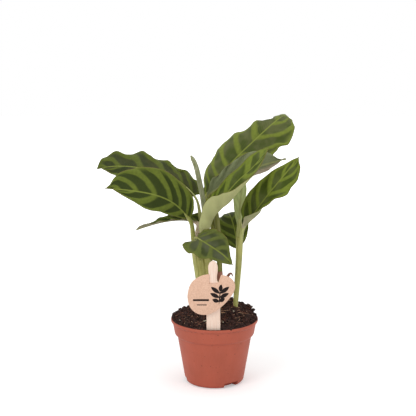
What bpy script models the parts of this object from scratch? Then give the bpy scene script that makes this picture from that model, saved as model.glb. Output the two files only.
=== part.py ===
"""A young zebra-leaved calathea in a 9 cm nursery pot, with its soil, wooden label stick and card tag.

Metres, +Z up. The origin is the middle of the pot's flat underside; -Y is the side the tag faces.
"""
from math import cos, pi, radians, sin

import bmesh
import bpy
import numpy as np
from mathutils import Matrix, Vector

MM = 0.001
GAP = 0.3                      # clearance between touching pieces, mm

# Driving dimensions, mm.
POT_HEIGHT = 67.0
POT_RIM_RADIUS = 45.0
POT_WALL = 1.3
COLLAR_FOOT = 51.5             # height at which the collar steps in to the body
COLLAR_FOOT_RADIUS = 41.3
BODY_TOP_RADIUS = 38.4
BODY_FOOT_RADIUS = 30.6
POCKET_ANGLES = (-55.0, 65.0, 185.0)    # degrees round the pot from +X
POCKET_WIDTH = 10.5
POCKET_HEIGHT = 3.0
POCKET_DEPTH = 7.5
SOIL_FOOT = 4.6
SOIL_EDGE_RADIUS = 43.1
STEM_FOOT = 66.0               # every stem starts here, a few millimetres down in the soil
SOCKET_CLEARANCE = 0.4
LEAF_THICKNESS = 0.8
LEAF_ROWS = 20
LEAF_COLUMNS = 8
STICK_THICKNESS = 1.5
STICK_LEAN = 4.4               # degrees outwards
STICK_AT_SOIL = (-1.2, -41.0, 67.0)
TAG_THICKNESS = 0.8


# ---------------------------------------------------------------- scene and materials

def clear_scene():
    for obj in list(bpy.data.objects):
        bpy.data.objects.remove(obj, do_unlink=True)


def finish(name, colour, roughness):
    """A Principled material in one colour (linear RGB)."""
    material = bpy.data.materials.new(name)
    material.use_nodes = True
    shader = material.node_tree.nodes["Principled BSDF"]
    shader.inputs["Base Color"].default_value = (*colour, 1.0)
    shader.inputs["Roughness"].default_value = roughness
    shader.inputs["Metallic"].default_value = 0.0
    return material


def add_object(name, bm, material):
    """Turn a bmesh into a named object and free the bmesh."""
    mesh = bpy.data.meshes.new(name)
    bm.to_mesh(mesh)
    bm.free()
    mesh.materials.append(material)
    obj = bpy.data.objects.new(name, mesh)
    bpy.context.scene.collection.objects.link(obj)
    return obj


def add_boolean(obj, cutter, operation):
    """Cut with, or join on, another object, which is then only a guide."""
    cutter.hide_render = True
    cutter.display_type = "WIRE"
    modifier = obj.modifiers.new(operation.title(), "BOOLEAN")
    modifier.operation = operation
    modifier.object = cutter
    modifier.solver = "EXACT"


def shade_round(obj, sharp_angle=35.0):
    obj.data.shade_smooth()
    obj.data.set_sharp_from_angle(angle=radians(sharp_angle))


# ---------------------------------------------------------------- curves

def smooth_path(points, count):
    """Points evenly spaced along the natural cubic spline through the given points."""
    points = np.asarray(points, float)
    steps = np.linalg.norm(np.diff(points, axis=0), axis=1)
    knots = np.concatenate([[0.0], np.cumsum(steps)])
    size = len(points)
    system = np.eye(size)
    bends = np.zeros((size, points.shape[1]))
    for i in range(1, size - 1):
        system[i, i - 1:i + 2] = steps[i - 1], 2.0 * (steps[i - 1] + steps[i]), steps[i]
        slope_after = (points[i + 1] - points[i]) / steps[i]
        slope_before = (points[i] - points[i - 1]) / steps[i - 1]
        bends[i] = 6.0 * (slope_after - slope_before)
    bends = np.linalg.solve(system, bends)

    def at(values):
        i = np.clip(np.searchsorted(knots, values) - 1, 0, size - 2)
        step = steps[i][:, None]
        t = (values - knots[i])[:, None]
        slope = (points[i + 1] - points[i]) / step - step * (2.0 * bends[i] + bends[i + 1]) / 6.0
        return points[i] + slope * t + bends[i] / 2.0 * t**2 + (bends[i + 1] - bends[i]) / (6.0 * step) * t**3

    fine = np.linspace(0.0, knots[-1], 400)
    lengths = np.concatenate([[0.0], np.cumsum(np.linalg.norm(np.diff(at(fine), axis=0), axis=1))])
    return at(np.interp(np.linspace(0.0, lengths[-1], count), lengths, fine))


def through_three(base, middle, tip, along):
    """The parabola that takes three values at the base, middle and tip of a leaf."""
    along = along[:, None]
    base, middle, tip = (np.atleast_1d(np.asarray(value, float)) for value in (base, middle, tip))
    return (base * (1 - along) * (1 - 2 * along) + middle * 4 * along * (1 - along)
            + tip * along * (2 * along - 1))


# ---------------------------------------------------------------- pot

def spun(profile, steps):
    """A closed solid turned from (radius, height) points that run from the axis out and back."""
    bm = bmesh.new()
    corners = [bm.verts.new((r * MM, 0.0, z * MM)) for r, z in profile]
    edges = [bm.edges.new(pair) for pair in zip(corners, corners[1:])]
    bmesh.ops.spin(bm, geom=corners + edges, cent=(0, 0, 0), axis=(0, 0, 1), angle=2 * pi, steps=steps,
                   use_merge=True)
    bmesh.ops.remove_doubles(bm, verts=bm.verts, dist=0.01 * MM)
    bmesh.ops.recalc_face_normals(bm, faces=bm.faces)
    return bm


def ring_sectors(profile, half_angle, centres, steps=4):
    """Closed blocks, each the (radius, height) profile swept round the Z axis about one centre."""
    bm = bmesh.new()
    for centre in centres:
        turn = Matrix.Rotation(radians(centre) - half_angle, 3, "Z")
        corners = [bm.verts.new(turn @ Vector((r * MM, 0.0, z * MM))) for r, z in profile]
        face = bm.faces.new(corners)
        start = bmesh.ops.duplicate(bm, geom=[face])["geom"]
        swept = [item for item in start if isinstance(item, bmesh.types.BMFace)]
        bmesh.ops.spin(bm, geom=swept, cent=(0, 0, 0), axis=(0, 0, 1), angle=2 * half_angle, steps=steps)
    bmesh.ops.remove_doubles(bm, verts=bm.verts, dist=0.01 * MM)
    bmesh.ops.recalc_face_normals(bm, faces=bm.faces)
    return bm


def body_radius(height):
    """Outer radius of the tapered body."""
    return BODY_FOOT_RADIUS + (BODY_TOP_RADIUS - BODY_FOOT_RADIUS) * (height - 2.6) / (COLLAR_FOOT - 5.1)


def make_pot(plastic):
    floor = POT_WALL + 0.1
    outer = [
        (0.0, 0.0), (27.8, 0.0), (29.6, 0.7), (BODY_FOOT_RADIUS, 2.6),
        (BODY_TOP_RADIUS, COLLAR_FOOT - 2.5), (COLLAR_FOOT_RADIUS - 0.6, COLLAR_FOOT - 0.7),
        (COLLAR_FOOT_RADIUS, COLLAR_FOOT + 1.2), (POT_RIM_RADIUS - 1.8, POT_HEIGHT - 3.4),
        (POT_RIM_RADIUS, POT_HEIGHT - 2.6), (POT_RIM_RADIUS, POT_HEIGHT - 0.4),
        (POT_RIM_RADIUS - 0.5, POT_HEIGHT),
    ]
    inner = [
        (POT_RIM_RADIUS - 1.2, POT_HEIGHT), (COLLAR_FOOT_RADIUS - POT_WALL, COLLAR_FOOT + 1.6),
        (BODY_TOP_RADIUS - POT_WALL, COLLAR_FOOT - 1.2), (BODY_FOOT_RADIUS - POT_WALL, 3.2),
        (28.0, floor), (0.0, floor),
    ]
    pot = add_object("pot", spun(outer + inner, 48), plastic)
    half_angle = POCKET_WIDTH / 2 / BODY_FOOT_RADIUS
    inside = BODY_FOOT_RADIUS - POCKET_DEPTH
    wall_middle = BODY_FOOT_RADIUS - POT_WALL / 2
    housing = [(inside - POT_WALL, 0.8), (wall_middle - 1.2, 0.8), (wall_middle, 3.0),
               (wall_middle + 0.2, POCKET_HEIGHT + POT_WALL), (inside - POT_WALL, POCKET_HEIGHT + POT_WALL)]
    pocket = [(inside, -2.0), (POT_RIM_RADIUS, -2.0), (POT_RIM_RADIUS, POCKET_HEIGHT),
              (inside, POCKET_HEIGHT)]
    wall_angle = POT_WALL / BODY_FOOT_RADIUS
    housing_blocks = ring_sectors(housing, half_angle + wall_angle, POCKET_ANGLES)
    housings = add_object("pocket_housings", housing_blocks, plastic)
    pockets = add_object("pocket_cutters", ring_sectors(pocket, half_angle, POCKET_ANGLES), plastic)
    holes = bmesh.new()
    for angle in POCKET_ANGLES:
        out = Matrix.Translation((26.5 * MM, 0, POCKET_HEIGHT * MM))
        spot = Matrix.Rotation(radians(angle), 4, "Z") @ out
        bmesh.ops.create_cone(holes, cap_ends=True, segments=12, radius1=2 * MM, radius2=2 * MM,
                              depth=6 * MM, matrix=spot)
    drains = add_object("drain_cutters", holes, plastic)
    add_boolean(pot, housings, "UNION")
    add_boolean(pot, pockets, "DIFFERENCE")
    add_boolean(pot, drains, "DIFFERENCE")
    shade_round(pot)


# ---------------------------------------------------------------- soil

def soil_height(x, y):
    """Height of the heaped soil above the pot's foot, mm."""
    edge = SOIL_EDGE_RADIUS + 0.3
    dome = 7.0 * max(0.0, 1.0 - (x * x + y * y) / edge**2)
    slope = 1.1 * (y / edge + 1.0)
    rear_heap = 8.0 * np.exp(-((x - 16) ** 2 + (y - 24) ** 2) / 130.0)
    side_heap = 4.5 * np.exp(-((x - 36) ** 2 + (y - 20) ** 2) / 130.0)
    return 66.7 + dome + slope + rear_heap + side_heap


def make_soil(peat, stems):
    """The root ball's soil, which fills the pot, with a socket for each stem and a slot for the stick."""
    walls = [
        (0.0, SOIL_FOOT), (body_radius(SOIL_FOOT) - POT_WALL - GAP, SOIL_FOOT),
        (BODY_TOP_RADIUS - POT_WALL - GAP, COLLAR_FOOT - 0.9),
        (COLLAR_FOOT_RADIUS - POT_WALL - GAP, COLLAR_FOOT + 2.0), (SOIL_EDGE_RADIUS, 66.0),
        (36.0, 67.0), (27.0, 67.0), (18.0, 67.0), (9.0, 67.0), (0.0, 67.0),
    ]
    bm = spun(walls, 32)
    for vert in bm.verts:
        if vert.co.z > 65.5 * MM:
            vert.co.z = soil_height(vert.co.x / MM, vert.co.y / MM) * MM
    soil = add_object("soil", bm, peat)
    sockets = bmesh.new()
    for x, y, radius in stems:
        middle = Matrix.Translation((x * MM, y * MM, (STEM_FOOT + 20.0 - GAP) * MM))
        bore = (radius + SOCKET_CLEARANCE) * MM
        bmesh.ops.create_cone(sockets, cap_ends=True, segments=12, radius1=bore, radius2=bore,
                              depth=40 * MM, matrix=middle)
    add_boolean(soil, add_object("stem_sockets", sockets, peat), "DIFFERENCE")
    add_boolean(soil, stick_slot(peat), "DIFFERENCE")
    shade_round(soil)


# ---------------------------------------------------------------- label stick and tag

def plate(outline, thickness, front=0.0):
    """A flat plate along the XZ plane, from y = front to front + thickness."""
    bm = bmesh.new()
    face = bm.faces.new([bm.verts.new((x * MM, front * MM, z * MM)) for x, z in outline])
    walls = bmesh.ops.extrude_face_region(bm, geom=[face])["geom"]
    moved = [item for item in walls if isinstance(item, bmesh.types.BMVert)]
    bmesh.ops.translate(bm, verts=moved, vec=(0, thickness * MM, 0))
    bmesh.ops.recalc_face_normals(bm, faces=bm.faces)
    return bm


def stick_outline():
    """Half of the stick's outline runs up the +X side from the point; the other half mirrors it."""
    blade, neck, head = 6.9, 3.6, 4.5
    side = [(2.5, -13.0), (blade, -9.5), (blade, 48.6), (neck, 51.6), (neck, 56.5), (head - 0.4, 60.5)]
    crown = [(head * cos(a), 65.0 + 7.6 * sin(a)) for a in np.linspace(0.0, pi / 2, 6)]
    right = side + crown
    return right + [(-x, z) for x, z in reversed(right[:-1])]


def lean_with_stick(obj):
    obj.location = [value * MM for value in STICK_AT_SOIL]
    obj.rotation_euler = (radians(STICK_LEAN), 0, 0)


def make_stick(birch):
    stick = add_object("label_stick", plate(stick_outline(), STICK_THICKNESS), birch)
    lean_with_stick(stick)


def stick_slot(peat):
    """The slot that the stick has pushed into the soil, open to the pot's wall."""
    half_width = 6.9 + GAP
    outline = [(-half_width, -13.0 - GAP), (half_width, -13.0 - GAP), (half_width, 20), (-half_width, 20)]
    slot = add_object("stick_slot", plate(outline, STICK_THICKNESS + GAP + 8.0, -8.0), peat)
    lean_with_stick(slot)
    return slot


def tag_outline():
    """The card's rounded pick shape, about the foot of its slot."""
    corners = [
        (-26.0, -12.5), (-22.3, 0.3), (-10.0, 8.6), (6.6, 9.0), (17.6, 5.2), (21.3, -1.2),
        (15.8, -15.5), (5.8, -25.8), (-7.5, -32.3), (-18.0, -30.0), (-24.6, -21.5), (-26.0, -12.5),
    ]
    return smooth_path(corners, 49)[:-1]


def make_tag(card):
    lean = np.tan(radians(STICK_LEAN))
    slot_foot = 116.2
    stick_x, stick_y, soil_z = STICK_AT_SOIL
    front_of_stick = stick_y - (slot_foot - soil_z) * lean
    tag = add_object("plant_tag", plate(tag_outline(), TAG_THICKNESS), card)
    tag.location = (stick_x * MM, (front_of_stick - GAP - 0.1 - TAG_THICKNESS) * MM, slot_foot * MM)
    neck = 3.6 + 2 * GAP
    opening = [(-neck, 0.0), (neck, 0.0), (neck + 5.0, 14.0), (-neck, 14.0)]
    notch = add_object("tag_slot", plate(opening, 10.0, -5.0), card)
    notch.location = tag.location
    add_boolean(tag, notch, "DIFFERENCE")


# ---------------------------------------------------------------- stems

def make_stem(name, points, radii, material, rings=9):
    """A round stem along a smooth path, its radius following the given values from foot to top."""
    centre = smooth_path(points, rings)
    size = np.interp(np.linspace(0, 1, rings), np.linspace(0, 1, len(radii)), radii)
    curve = bpy.data.curves.new(name, "CURVE")
    curve.dimensions = "3D"
    curve.bevel_depth = MM
    curve.bevel_resolution = 2
    curve.use_fill_caps = True
    curve.materials.append(material)
    spline = curve.splines.new("POLY")
    spline.points.add(rings - 1)
    for point, place, radius in zip(spline.points, centre, size):
        point.co = (*(place * MM), 1.0)
        point.radius = radius
    stem = bpy.data.objects.new(name, curve)
    bpy.context.scene.collection.objects.link(stem)


# ---------------------------------------------------------------- leaves

def half(width, base, middle, tip, lean=0.85, blunt_base=0.55, blunt_tip=1.05, lobe=0.0):
    """One side of a leaf.

    width is its widest, mm. base, middle and tip are each the slope at the midrib and at the margin,
    in degrees above the leaf's flat. lean moves the widest point tipwards, the blunt values are
    powers (smaller is rounder), and lobe is how far the base runs back past the stalk, mm.
    """
    return dict(width=width, slopes=(base, middle, tip), lean=lean, blunt=(blunt_base, blunt_tip), lobe=lobe)


def leaf_surface(rib, facing, left, right, waves):
    """Grid of points, rows along the midrib and columns across, with the upper face's normals.

    rib is the midrib's points, facing the way the upper face looks at the base, middle and tip,
    and waves the number, height in mm and phase of the margin's ripples.
    """
    along = np.linspace(0.0, 1.0, LEAF_ROWS)
    spine = smooth_path(rib, LEAF_ROWS)
    tangent = np.gradient(spine, axis=0)
    tangent /= np.linalg.norm(tangent, axis=1)[:, None]
    normal = through_three(*facing, along)
    normal -= (normal * tangent).sum(axis=1)[:, None] * tangent
    normal /= np.linalg.norm(normal, axis=1)[:, None]
    side = np.cross(tangent, normal)
    columns = LEAF_COLUMNS // 2
    grid = np.zeros((LEAF_ROWS, LEAF_COLUMNS + 1, 3))
    grid[:, columns] = spine
    for sign, part in ((-1, left), (1, right)):
        at_rib, at_margin = zip(*part["slopes"])
        at_rib = np.radians(through_three(*at_rib, along))
        at_margin = np.radians(through_three(*at_margin, along))
        base_power, tip_power = part["blunt"]
        power = base_power + (tip_power - base_power) * along
        fullness = np.sin(pi * along ** part["lean"]).clip(0) ** power
        narrowest = 0.8 - 0.5 * along
        width = (narrowest + (part["width"] - narrowest) * fullness)[:, None] / columns
        reach = np.zeros((LEAF_ROWS, 3))
        for j in range(1, columns + 1):
            slope = at_rib + (at_margin - at_rib) * (j - 0.5) / columns
            reach = reach + width * (np.cos(slope) * side * sign + np.sin(slope) * normal)
            back = part["lobe"] * (j / columns) ** 1.5 * ((1.0 - along) * fullness**0.5)[:, None]
            grid[:, columns + sign * j] = spine + reach - back * tangent
    return grid + ripple(grid, normal, along, *waves)


def ripple(grid, normal, along, count, height, phase):
    """Offsets that lift and drop the margin, in step with the veins that sweep forward from the midrib."""
    across = np.cross(np.gradient(grid, axis=0), np.gradient(grid, axis=1))
    across /= np.linalg.norm(across, axis=2)[..., None].clip(1e-9)
    middle = LEAF_ROWS // 2
    if across[middle, LEAF_COLUMNS // 2] @ normal[middle] < 0:
        across = -across
    out = np.abs(np.linspace(-1.0, 1.0, LEAF_COLUMNS + 1))
    vein = along[:, None] - 0.25 * out**1.3
    fade = np.sin(pi * along)[:, None].clip(0) ** 0.7
    return across * (height * out**2 * np.cos(2 * pi * count * vein + phase) * fade)[..., None]


def make_leaf(name, material, rib, facing, left, right, waves=(4, 1.0, 0.0)):
    """A closed blade of even thickness about the leaf's surface."""
    points = leaf_surface(rib, facing, left, right, waves)
    bm = bmesh.new()
    bmesh.ops.create_grid(bm, x_segments=LEAF_COLUMNS, y_segments=LEAF_ROWS - 1, size=1.0)
    for vert in bm.verts:
        column = round((vert.co.x + 1.0) / 2.0 * LEAF_COLUMNS)
        row = round((vert.co.y + 1.0) / 2.0 * (LEAF_ROWS - 1))
        vert.co = points[row, column] * MM
    leaf = add_object(name, bm, material)
    shell = leaf.modifiers.new("Blade", "SOLIDIFY")
    shell.thickness = LEAF_THICKNESS * MM
    shell.offset = 0.0
    leaf.data.shade_smooth()


# ---------------------------------------------------------------- the plant

# Each leaf: midrib points (mm), the way its upper face looks at base, middle and tip, its left and
# right halves seen from above with the tip ahead, and its ripples.
LEAVES = {
    "leaf_rear_left": dict(
        rib=[(-20, 8, 194), (-36, 14, 208), (-60, 22, 216.5), (-85, 28, 220.5), (-110, 33, 219.5),
             (-122, 35, 217)],
        facing=[(0, -0.3, 0.95), (0, -0.45, 0.9), (-0.1, -0.55, 0.87)],
        left=half(24, (0, -10), (0, -15), (0, -10), 1.0, 0.6, 1.0),
        right=half(26.5, (0, -10), (0, -5), (0, 0), 1.25, 0.42, 0.4), waves=(4.7, 3.0, -4.4)),
    "leaf_front_left": dict(
        rib=[(-26, -13, 175), (-41, -24, 193), (-59, -32, 203), (-81, -36, 208), (-108, -38, 211)],
        facing=[(-0.3, -0.85, 0.4), (-0.2, -0.83, 0.5), (-0.1, -0.8, 0.6)],
        left=half(16, (0, -10), (0, -15), (0, -15), 0.85, 0.65, 1.2),
        right=half(28, (0, 10), (0, 5), (0, 0), 1.1, 0.5, 0.6), waves=(5, 1.5, 0.0)),
    "leaf_top": dict(
        rib=[(-9, 12, 191.8), (4, 21, 209.6), (18, 30, 225), (42, 39, 247), (63, 51, 264), (75, 71, 269)],
        facing=[(-0.3, -0.85, 0.4), (-0.25, -0.83, 0.5), (-0.2, -0.8, 0.6)],
        left=half(28, (0, -40), (0, -50), (0, -40), 0.88, 0.55, 0.6),
        right=half(30, (0, 10), (0, 5), (0, -10), 1.4, 0.75, 0.5), waves=(5.3, 1.2, -5.7)),
    "leaf_front_funnel": dict(
        rib=[(-9, -11.3, 158), (-2, -10.3, 181.2), (9, -9.6, 196.2), (24, -11.9, 214.1), (38, -16, 228.1),
             (53, -20, 248.2)],
        facing=[(-0.25, -0.8, 0.5), (-0.45, -0.55, 0.65), (-0.45, -0.3, 0.8)],
        left=half(14, (40, 90), (10, 20), (5, 10), 1.0, 0.8, 1.0),
        right=half(41, (0, 195), (-10, 90), (0, 0), 0.6, 0.3, 1.3), waves=(6, 1.0, 0.0)),
    "leaf_behind_funnel": dict(
        rib=[(-7, 3.2, 194.8), (11, 3.2, 208.8), (29, 4.5, 218.9), (48, 6, 226), (73, 9, 232)],
        facing=[(-0.3, 0.93, 0.2), (-0.3, 0.93, 0.2), (-0.3, 0.9, 0.3)],
        left=half(9.5, (0, -20), (0, -20), (0, 0), 1.0),
        right=half(18, (0, 10), (0, 5), (0, 0), 1.25, 0.55, 1.1),
        waves=(5, 2.0, 0.0)),
    "leaf_half_rolled": dict(
        rib=[(25.3, 3.2, 161.7), (26, 4.5, 182), (27.5, 7.5, 199.7), (28.5, 10, 219)],
        facing=[(0, 1, 0.2), (0, 1, 0.2), (0, 1, 0.2)],
        left=half(5.5, (0, 40), (0, 30), (0, 30), 1.3, 0.8), right=half(8, (0, 40), (0, 30), (0, 30), 1.3),
        waves=(5, 0.0, 0.0)),
    "leaf_right": dict(
        rib=[(29, -3, 163), (42, -10, 183), (56, -14, 203), (71, -16, 222), (84, -16, 239)],
        facing=[(-0.3, -0.8, 0.5), (-0.3, -0.8, 0.5), (-0.3, -0.8, 0.5)],
        left=half(17, (0, 10), (0, 5), (0, 0), 0.7, 0.5, 1.0),
        right=half(15.5, (0, 210), (0, 10), (0, 0), 1.25, 0.4, 0.6), waves=(4, 1.0, 0.0)),
    "leaf_small_front": dict(
        rib=[(-17, -32, 159.4), (-10, -37.5, 156.3), (-1, -40, 151), (10, -40.5, 142.8), (18, -39, 133.7)],
        facing=[(0.1, -0.98, 0), (0.1, -0.98, 0.05), (0.1, -0.95, 0.2)],
        left=half(16, (0, 10), (0, 5), (0, 0), 0.7, lobe=3),
        right=half(18, (0, 10), (0, 5), (0, 0), 0.6, 0.5, 0.8, lobe=19), waves=(4, 1.0, 0.0)),
    "leaf_low_left": dict(
        rib=[(-18, 3, 164), (-26, 2, 169), (-40, -1, 173), (-61, -3, 170), (-80, -5, 161)],
        facing=[(0, 0.45, 0.9), (0, -0.15, 1), (0.3, 0.6, 0.8)],
        left=half(12, (0, 10), (0, 5), (0, 0)), right=half(12, (50, 90), (0, 5), (0, 0)),
        waves=(4, 1.0, 0.0)),
    "leaf_low_rear": dict(
        rib=[(23, 8, 139), (22, 14, 151), (19, 20, 163), (16, 30, 169), (13, 42, 168)],
        facing=[(0, -0.9, 0.4), (0, -0.75, 0.6), (0, -0.6, 0.8)],
        left=half(14, (0, 10), (0, 5), (0, 0), 1.1), right=half(16, (0, 10), (0, 5), (0, 0), 1.1),
        waves=(4, 1.0, 0.0)),
}

# Each sheath: path and radii from its foot in the soil to its top, mm.
SHEATHS = {
    "sheath_left": ([(-13, -3, 66), (-13, -3, 78), (-14.5, -4, 98), (-16.9, -5, 125), (-19.4, -7.6, 146)],
                    (3.3, 3.3, 3.4, 4.3, 3.8)),
    "sheath_middle": ([(-7, 1, 66), (-7, 1, 78), (-8.3, -0.5, 98), (-9, -4.5, 125), (-9.4, -11, 148)],
                      (2.9, 2.9, 3.0, 3.0, 3.4)),
    "sheath_rear": ([(4, 4, 66), (4, 4, 78), (5.4, 4.2, 98), (5.4, 5, 120), (5.2, 5.4, 135)],
                    (2.8, 2.8, 2.8, 2.8, 2.9)),
    "sheath_right": ([(21, 3, 66), (21, 3, 78), (22.6, 2.4, 96), (24.8, 1.5, 122), (25.8, 1, 152)],
                     (2.8, 2.9, 3.1, 3.5, 3.9)),
}

# Each stalk: the leaf it carries, its path up to a few millimetres short of that leaf, and its radii.
STALKS = {
    "stalk_rear_left": ("leaf_rear_left", [(-6, 8, 66), (-6, 8, 78), (-8, 7.5, 110), (-9.2, 6.3, 150),
                                           (-13.5, 5.5, 170), (-16.5, 6, 184)], (2.0, 1.9, 1.7, 1.5, 1.3)),
    "stalk_rolled": ("leaf_rolled", [(-1.7, 3.6, 66), (-1.7, 3.6, 78), (-2.7, 3, 105), (-4.5, 2, 140)],
                     (1.6, 1.6, 1.6, 1.6, 1.6)),
    "stalk_front_left": ("leaf_front_left", [(-20.6, -8.9, 146.6), (-22, -10.2, 158)], (1.6, 1.5, 1.3)),
    "stalk_low_left": ("leaf_low_left", [(-17.6, -5.9, 147.4), (-16.8, -3, 155)], (1.5, 1.4, 1.2)),
    "stalk_funnel": ("leaf_front_funnel", [(-9.4, -11.2, 149.6)], (2.4, 1.9, 1.6)),
    "stalk_small_front": ("leaf_small_front", [(-13.9, -9.8, 131), (-15.5, -14, 145), (-17.5, -22, 155)],
                          (1.2, 1.2, 1.2)),
    "stalk_top": ("leaf_top", [(4.1, 6.9, 135.5), (1.5, 8, 155), (-0.6, 9, 168), (-5, 10, 180)],
                  (1.2, 1.2, 1.2)),
    "stalk_behind_funnel": ("leaf_behind_funnel", [(6.4, 4.2, 135.5), (5, 4, 155), (4, 3.6, 168),
                                                   (0, 2.6, 182)], (1.2, 1.2, 1.2)),
    "stalk_half_rolled": ("leaf_half_rolled", [(24.6, 2.9, 152.8)], (1.6, 1.5)),
    "stalk_right": ("leaf_right", [(27.2, -1.0, 152.8)], (1.4, 1.3)),
    "stalk_low_rear": ("leaf_low_rear", [(23.6, 6.6, 120), (23.4, 6.9, 128)], (1.2, 1.2)),
}
ROLLED_LEAF = [(-10, -4, 176.9), (-12, -2, 191.8), (-17, 0, 214.7), (-23, 1, 236.7)]
ROLLED_RADII = (1.8, 2.5, 2.8, 2.7, 2.4, 0.6)
DRIED_TIP = [(9.2, 3.7, 95), (11.5, 2, 104), (14, 0, 111.5), (17, -1, 114.5), (18.6, -1.4, 111.5)]


def start_of(leaf):
    """A leaf's foot and its first direction."""
    rib = ROLLED_LEAF if leaf == "leaf_rolled" else LEAVES[leaf]["rib"]
    path = smooth_path(rib, 40)
    ahead = path[1] - path[0]
    return path[0], ahead / np.linalg.norm(ahead)


def make_plant(green, dry, blade):
    """Leaf sheaths rise from the soil, and each leaf's own stalk leaves a sheath or the soil."""
    for name, (path, radii) in SHEATHS.items():
        make_stem(name, path, radii, green)
    for name, (leaf, path, radii) in STALKS.items():
        foot, ahead = start_of(leaf)
        knee = [foot - 4.5 * ahead, foot - 3.0 * GAP * ahead]
        make_stem(name, path + knee, radii, green)
    make_stem("leaf_rolled", ROLLED_LEAF, ROLLED_RADII, blade)
    make_stem("dried_sheath_tip", DRIED_TIP, (0.7, 1.0, 1.1, 0.9, 0.4), dry)
    for name, spec in LEAVES.items():
        make_leaf(name, blade, **spec)


def stem_sockets():
    """Where each stem enters the soil, with its radius there."""
    feet = [(path[0], radii[0]) for path, radii in SHEATHS.values()]
    feet += [(path[0], radii[0]) for _, path, radii in STALKS.values() if path[0][2] == STEM_FOOT]
    return [(x, y, radius) for (x, y, _), radius in feet]


def build():
    clear_scene()
    make_pot(finish("terracotta_plastic", (0.42, 0.11, 0.07), 0.5))
    make_soil(finish("peat", (0.03, 0.018, 0.013), 0.95), stem_sockets())
    make_stick(finish("birch", (0.85, 0.66, 0.52), 0.7))
    make_tag(finish("card", (0.74, 0.48, 0.34), 0.85))
    make_plant(finish("stem_green", (0.29, 0.28, 0.09), 0.5), finish("dried_leaf", (0.2, 0.07, 0.03), 0.8),
               finish("leaf_green", (0.07, 0.11, 0.02), 0.45))


build()
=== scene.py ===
"""A young zebra-leaved calathea in a 9 cm nursery pot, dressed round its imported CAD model.

Metres, +Z up. The pot stands on the floor at the origin and its card tag faces -Y.
"""

from math import cos, pi, radians, sin, tan

import bmesh
import bpy
import numpy as np
from mathutils import Matrix, Vector, noise


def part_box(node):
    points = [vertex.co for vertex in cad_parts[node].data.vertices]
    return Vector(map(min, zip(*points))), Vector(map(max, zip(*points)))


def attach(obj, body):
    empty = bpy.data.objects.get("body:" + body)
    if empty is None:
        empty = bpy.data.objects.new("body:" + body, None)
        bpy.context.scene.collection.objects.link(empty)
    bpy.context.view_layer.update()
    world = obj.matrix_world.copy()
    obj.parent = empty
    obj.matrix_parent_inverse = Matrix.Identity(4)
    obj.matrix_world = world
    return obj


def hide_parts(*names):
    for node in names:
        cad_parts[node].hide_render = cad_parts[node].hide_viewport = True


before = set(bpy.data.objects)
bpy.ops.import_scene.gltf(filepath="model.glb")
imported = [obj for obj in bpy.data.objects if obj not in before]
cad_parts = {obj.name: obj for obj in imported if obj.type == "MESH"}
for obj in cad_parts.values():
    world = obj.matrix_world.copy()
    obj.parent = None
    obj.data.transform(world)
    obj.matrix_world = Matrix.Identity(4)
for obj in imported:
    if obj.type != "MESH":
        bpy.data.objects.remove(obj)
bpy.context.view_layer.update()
MM = 0.001


# ============================================ studio
# A white sweep under a large overhead soft light, with a key lamp high on the left and a weak fill
# on the right. The world is white to the camera and in reflections, and dimmer as a light.

scene = bpy.context.scene
scene.view_settings.view_transform = "Standard"

camera = bpy.data.objects.new("camera", bpy.data.cameras.new("camera"))
camera.location = (-0.0067, -1.222, 0.445)
camera.rotation_euler = (radians(77.9), 0.0, 0.0)
camera.data.sensor_width = 36.0
camera.data.lens = 106.4
scene.collection.objects.link(camera)
scene.camera = camera


def add_lamp(name, place, target, size, power):
    """A square soft light aimed at a point."""
    lamp = bpy.data.objects.new(name, bpy.data.lights.new(name, "AREA"))
    lamp.data.size = size
    lamp.data.energy = power
    lamp.location = place
    lamp.rotation_euler = (Vector(target) - Vector(place)).to_track_quat("-Z", "Y").to_euler()
    scene.collection.objects.link(lamp)


plant_middle = (0.0, 0.0, 0.14)
add_lamp("key_lamp", (-0.75, -0.95, 1.0), plant_middle, 0.7, 5.5)
add_lamp("top_lamp", (0.0, 0.1, 1.3), plant_middle, 1.0, 3.5)
add_lamp("fill_lamp", (1.0, -0.7, 0.6), plant_middle, 0.8, 1.5)


def operator(operation, swapped=False):
    """A method that puts a value and another through one Math node."""
    def method(self, other):
        return self.maths(operation, *((other, self) if swapped else (self, other)))
    return method


class Value:
    """A node's output that takes part in arithmetic; each operator adds a Math node."""

    def __init__(self, finish, socket):
        self.finish = finish
        self.socket = socket

    def maths(self, operation, *values):
        return self.finish.node("Math", dict(operation=operation), dict(enumerate(values)))

    __add__ = __radd__ = operator("ADD")
    __sub__ = operator("SUBTRACT")
    __rsub__ = operator("SUBTRACT", swapped=True)
    __mul__ = __rmul__ = operator("MULTIPLY")
    __pow__ = operator("POWER")
    larger = operator("MAXIMUM")

    def cosine(self):
        return self.maths("COSINE", self)

    def rises(self, low, high):
        """0 below low, 1 above high and smooth between; high may be the lower of the two."""
        return self.finish.node("MapRange", dict(interpolation_type="SMOOTHSTEP"),
                                {"Value": self, "From Min": low, "From Max": high})


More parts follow.
